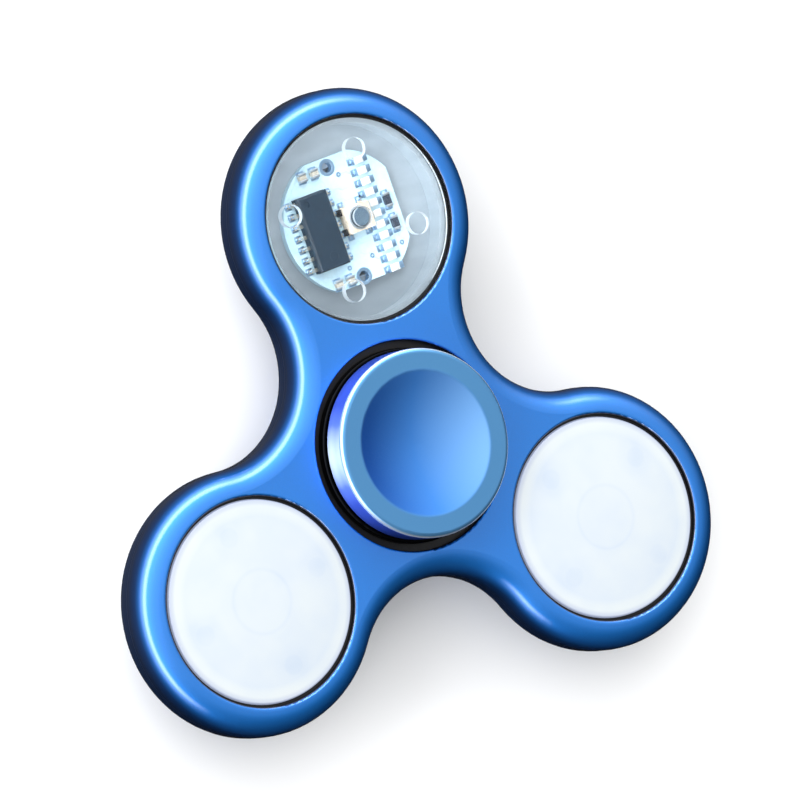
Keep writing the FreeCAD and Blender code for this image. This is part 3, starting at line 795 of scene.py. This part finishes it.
def switch_trim(k, tin, plastic):
    """Bright collar round the plunger, and the switch's dark side contacts."""
    top = SWITCH_TOP
    outline = [
        (1.09, top - 0.05), (1.09, top + 0.06), (1.14, top + 0.1), (1.3, top + 0.08), (1.36, top - 0.01),
    ]
    collar = bmesh.new()
    add_turned(collar, SWITCH_X, 0, outline, steps=48)
    settle(f"switch_collar_{k}", collar, board_frame(k), tin)
    contacts = bmesh.new()
    for side_y in SIDES:
        add_block(contacts, SWITCH_X - 1.85, side_y * 1.15, 0.0, (0.42, 0.75, 0.75), 0.06)
        add_block(contacts, SWITCH_X + 1.76, side_y * 1.15, 0.0, (0.2, 0.6, 0.5), 0.05)
    settle(f"switch_contacts_{k}", contacts, board_frame(k), plastic)


def chip_marks(k, epoxy):
    """Ejector-pin rings and parting lip of the moulded chip."""
    mesh = bmesh.new()
    foot, top = CHIP_TOP - 0.01, CHIP_TOP + 0.015
    for y in (-3.0, 1.9):
        add_turned(mesh, CHIP_X + 0.2, y, [(0.52, foot), (0.54, top), (0.58, top), (0.6, foot)])
    for side in SIDES:
        end_x, end_y = CHIP_X + side * CHIP_W / 2, side * CHIP_L / 2
        add_block(mesh, end_x, 0, CHIP_LIP_Z, (0.06, CHIP_L - 0.05, 0.05), PAD_EDGE)
        add_block(mesh, CHIP_X, end_y, CHIP_LIP_Z, (CHIP_W, 0.06, 0.05), PAD_EDGE)
    settle(f"chip_marks_{k}", mesh, board_frame(k), epoxy)


# Marks on the battery doors, in millimetres in a door's own frame: z out of its face

MARK_R = 7.4
MARK_SINK = -0.02        # marks start just inside the door
ARROW_FIRST_DEG = 40
ARROW_LAST_DEG = 120
ARROW_W = 0.4
ARROW_T = 0.12
ARROW_STEPS = 12
DOT_STEP_DEG = 14
DOT_T = 0.14
DOT_RADII = (0.22, 0.42, 0.22)


def cover_frame(k):
    """From a battery door's own frame to the row frame."""
    low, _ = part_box(f"rear_cover_{k}")
    lobe = Matrix.Rotation(math.radians(LOBE_STEP_DEG * (k - 1)), 4, "Z")
    out = Matrix.Translation((0, LOBE_PITCH, low.z))
    return lobe @ out @ Matrix.Rotation(math.pi, 4, "X") @ Matrix.Scale(MM, 4)


def add_arrow(mesh, first, last):
    """Raised arc arrow round the middle of a door, from one angle to another in degrees."""
    sweep = last - first
    spread = [(first + sweep * step / ARROW_STEPS, ARROW_W / 2) for step in range(ARROW_STEPS + 1)]
    point = last + math.degrees(2.4 * ARROW_W / MARK_R)
    spread += [(last, ARROW_W * 1.5), (point, 0.03)]
    sections = []
    for angle, half in spread:
        across, along = math.cos(math.radians(angle)), math.sin(math.radians(angle))
        inner, outer = MARK_R - half, MARK_R + half
        corners = [(inner, MARK_SINK), (inner, ARROW_T), (outer, ARROW_T), (outer, MARK_SINK)]
        sections.append([(reach * across, reach * along, z) for reach, z in corners])
    add_bar(mesh, sections)


def cover_marks(k, plastic):
    """Turn arrows and alignment dots on a battery door."""
    mesh = bmesh.new()
    for turn in (0, 180):
        add_arrow(mesh, turn + ARROW_FIRST_DEG, turn + ARROW_LAST_DEG)
        for step, size in zip((-1, 0, 1), DOT_RADII):
            angle = math.radians(turn + DOT_STEP_DEG * step)
            x, y = MARK_R * math.cos(angle), MARK_R * math.sin(angle)
            add_mound(mesh, x, y, size, DOT_T, base=MARK_SINK)
    settle(f"cover_marks_{k}", mesh, cover_frame(k), plastic)


def add_small_pieces():
    tin = steel("pad_tin", "93b6d6", 0.35, blend="d8e8f4", turned=False)
    bright = steel("end_tin", "c9d2da", 0.3, blend="f2f4f4", turned=False)
    mask = board_mask("track_mask", "c2dfee")
    resin = lit_diode("lamp_resin", "fff3dc")
    rivet = dark_plastic("switch_black", "15171b")
    raised = textured_cover("cover_mark_plastic", "565c66", "6e7580")
    for k in LOBES:
        solder_pads(k, tin)
        plated_holes(k, tin)
        board_tracks(k, mask)
        part_ends(k, bright)
        lamp_ends(k, tin)
        lamp_domes(k, resin)
        switch_trim(k, bright, rivet)
        chip_marks(k, chip_epoxy())
        cover_marks(k, raised)


# Stage. The stops are (place, brightness) pairs along a ramp: the sky's runs from the
# lower right to the upper left, and those of the horizon and of the halo's height from
# straight down to straight up. The halo is a low arc of strip lights.

FLOOR_HALF = 3.0
SKY_SIDE = IMAGE_UP - IMAGE_RIGHT
SKY_TILT_DEG = 80
SKY_LEVEL = 1.05
SKY_STOPS = [
    (0.0, 0.03), (0.17, 0.05), (0.3, 0.18), (0.42, 0.48), (0.52, 0.82),
    (0.6, 1.0), (0.7, 1.07), (0.85, 1.3), (1.0, 1.35),
]
HORIZON_STOPS = [(0.0, 0.1), (0.46, 0.12), (0.54, 0.4), (0.64, 0.9), (0.75, 1.0)]
HALO_SIDE = IMAGE_UP * 0.3 - IMAGE_RIGHT
HALO_TILT_DEG = 90
HALO_HEIGHT_STOPS = [(0.52, 0.0), (0.66, 0.25), (0.725, 1.0), (0.77, 0.9), (0.83, 0.0)]
HALO_SIDE_STOPS = [(0.36, 0.0), (0.46, 0.45), (0.6, 1.0)]
HALO_LEVEL = 6.6
BACKDROP = (0.92, 0.93, 0.95, 1)


def add_floor():
    """Plain pale floor that fills every view, and can't be seen from below."""
    half = FLOOR_HALF
    mesh = bpy.data.meshes.new("floor")
    corners = [(-half, -half, 0), (half, -half, 0), (half, half, 0), (-half, half, 0)]
    mesh.from_pydata(corners, [], [(0, 1, 2, 3)])
    floor = bpy.data.objects.new("floor", mesh)
    bpy.context.scene.collection.objects.link(floor)
    look = Look("floor_paint", Roughness=0.9)
    look.drive("Base Color", look.ramp(look.noise(0.3), [(0.3, rgb("f4f5f6")), (0.7, rgb("f8f9fa"))]))
    from_below = look.node("ShaderNodeNewGeometry").outputs["Backfacing"]
    one_sided = look.node("ShaderNodeMixShader")
    look.plug(from_below, one_sided.inputs[0])
    look.plug(look.shader.outputs[0], one_sided.inputs[1])
    look.plug(look.node("ShaderNodeBsdfTransparent").outputs[0], one_sided.inputs[2])
    look.plug(one_sided.outputs[0], look.output.inputs["Surface"])
    mesh.materials.append(look.material)
    floor.visible_glossy = False


def grey_ramp(tree, source, stops):
    """Grey level that follows a direction's lean, which runs from -1 to 1."""
    lift = tree.nodes.new("ShaderNodeMapRange")
    lift.inputs["From Min"].default_value = -1
    tree.links.new(source, lift.inputs["Value"])
    ramp = tree.nodes.new("ShaderNodeValToRGB")
    while len(ramp.color_ramp.elements) < len(stops):
        ramp.color_ramp.elements.new(0.5)
    for element, (position, value) in zip(ramp.color_ramp.elements, stops):
        element.position = position
        element.color = grey(value)
    tree.links.new(lift.outputs[0], ramp.inputs["Fac"])
    return ramp.outputs["Color"]


def lean_toward(tree, coords, side, tilt):
    """How far a sky direction leans toward an axis tilt degrees off the zenith, from -1 to 1."""
    made = tree.nodes.new("ShaderNodeVectorMath")
    made.operation = "DOT_PRODUCT"
    flat = Vector((side.x, side.y, 0)).normalized()
    angle = math.radians(tilt)
    made.inputs[1].default_value = flat * math.sin(angle) + Vector((0, 0, math.cos(angle)))
    tree.links.new(coords.outputs["Generated"], made.inputs[0])
    return made.outputs["Value"]


def add_sky():
    """Bright to the upper left, dim to the lower right and below the horizon, with a halo."""
    world = bpy.data.worlds.new("sky")
    bpy.context.scene.world = world
    world.use_nodes = True
    tree = world.node_tree
    background = tree.nodes["Background"]
    coords = tree.nodes.new("ShaderNodeTexCoord")
    lean = lean_toward(tree, coords, SKY_SIDE, SKY_TILT_DEG)
    halo_lean = lean_toward(tree, coords, HALO_SIDE, HALO_TILT_DEG)
    split = tree.nodes.new("ShaderNodeSeparateXYZ")
    tree.links.new(coords.outputs["Generated"], split.inputs[0])
    glow = tree.nodes.new("ShaderNodeMix")
    glow.data_type = "RGBA"
    glow.blend_type = "MULTIPLY"
    glow.inputs["Factor"].default_value = 1.0
    tree.links.new(grey_ramp(tree, lean, SKY_STOPS), glow.inputs[6])
    tree.links.new(grey_ramp(tree, split.outputs[2], HORIZON_STOPS), glow.inputs[7])
    halo = tree.nodes.new("ShaderNodeMath")
    halo.operation = "MULTIPLY"
    tree.links.new(grey_ramp(tree, split.outputs[2], HALO_HEIGHT_STOPS), halo.inputs[0])
    tree.links.new(grey_ramp(tree, halo_lean, HALO_SIDE_STOPS), halo.inputs[1])
    lit = tree.nodes.new("ShaderNodeVectorMath")
    lit.operation = "MULTIPLY_ADD"
    lit.inputs[1].default_value = (HALO_LEVEL, HALO_LEVEL, HALO_LEVEL)
    tree.links.new(halo.outputs[0], lit.inputs[0])
    tree.links.new(glow.outputs[2], lit.inputs[2])
    path = tree.nodes.new("ShaderNodeLightPath")
    pale = tree.nodes.new("ShaderNodeMix")
    pale.data_type = "RGBA"
    pale.inputs[7].default_value = BACKDROP
    tree.links.new(path.outputs["Is Camera Ray"], pale.inputs["Factor"])
    tree.links.new(lit.outputs[0], pale.inputs[6])
    tree.links.new(pale.outputs[2], background.inputs["Color"])
    background.inputs["Strength"].default_value = SKY_LEVEL


paint_nodes()
add_small_pieces()
add_floor()
add_sky()
bpy.context.scene.view_settings.view_transform = "Standard"
